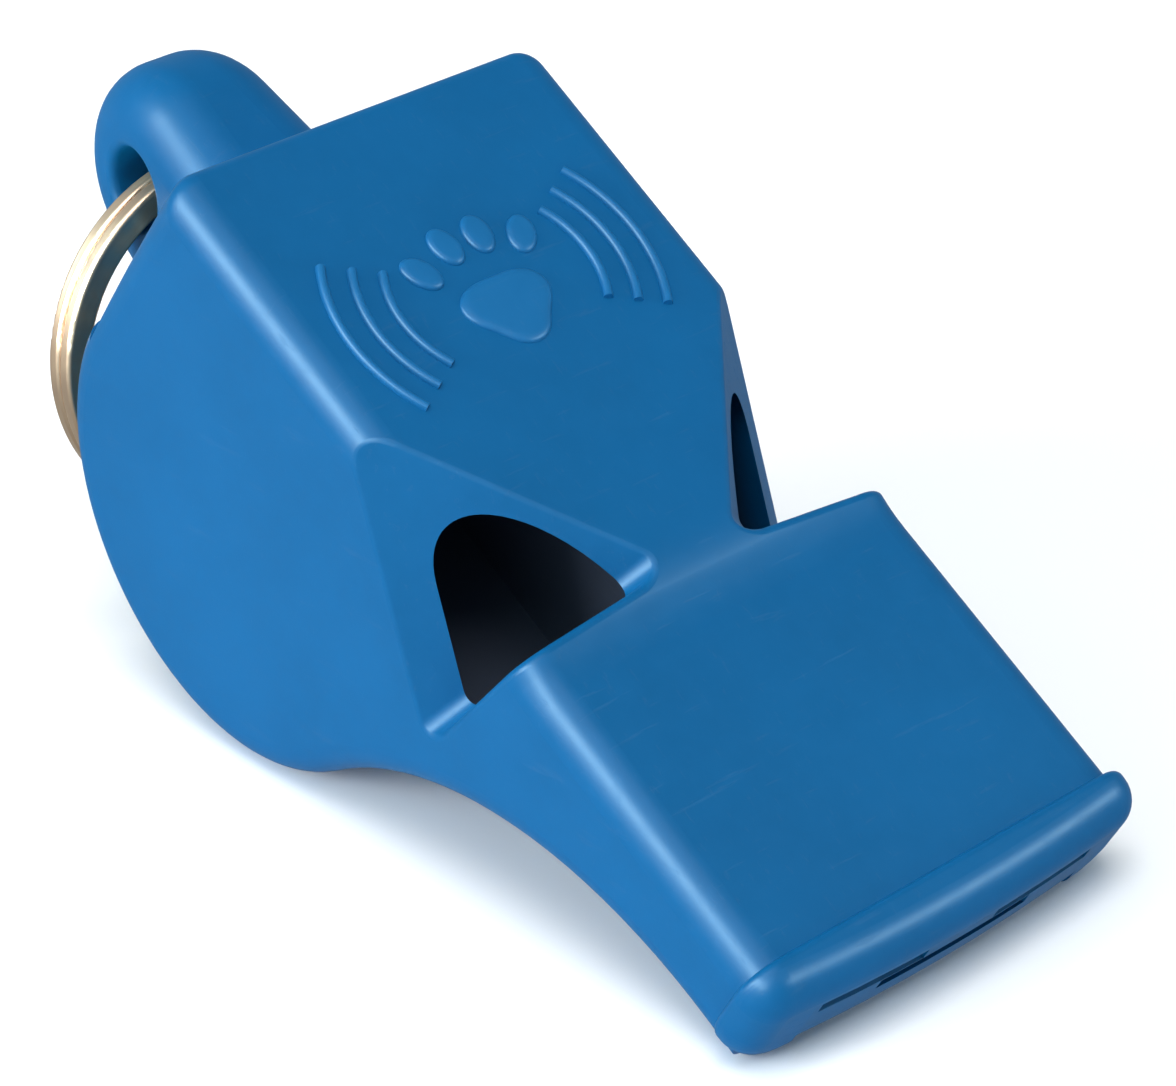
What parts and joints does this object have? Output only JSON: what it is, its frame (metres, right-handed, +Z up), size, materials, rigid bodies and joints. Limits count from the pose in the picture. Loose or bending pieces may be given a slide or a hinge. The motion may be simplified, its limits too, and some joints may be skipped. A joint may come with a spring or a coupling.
{
  "type": "training whistle",
  "caption": "Pealess pet-training whistle: barrel body with corner windows, flat top, ribbed mouthpiece lip, rear lug and a swinging split ring.",
  "frame": {"origin": "centre of the bounding box on the table plane the whistle lies on", "axes": "+X from the barrel to the mouth, +Y across, +Z up; the flat top slopes down towards the mouth because the whistle lies on its barrel and on the lower edge of the mouth"},
  "size_m": [0.055, 0.0216, 0.0284],
  "materials": {
    "shell_plastic": "satin gloss, moulded",
    "insert_plastic": "satin gloss, moulded",
    "ring_steel": "bright drawn wire"
  },
  "bodies": {
    "whistle": {"body_shell": "shell_plastic", "base_insert": "insert_plastic"},
    "ring": {"split_ring": "ring_steel"}
  },
  "joints": [
    {"name": "ring_swing", "type": "hinge", "parent": "whistle", "child": "ring", "pos_m": [-0.02225, 0, 0.02211], "axis": [0, 1, 0], "range_deg": [-3.5, 240]}
  ]
}
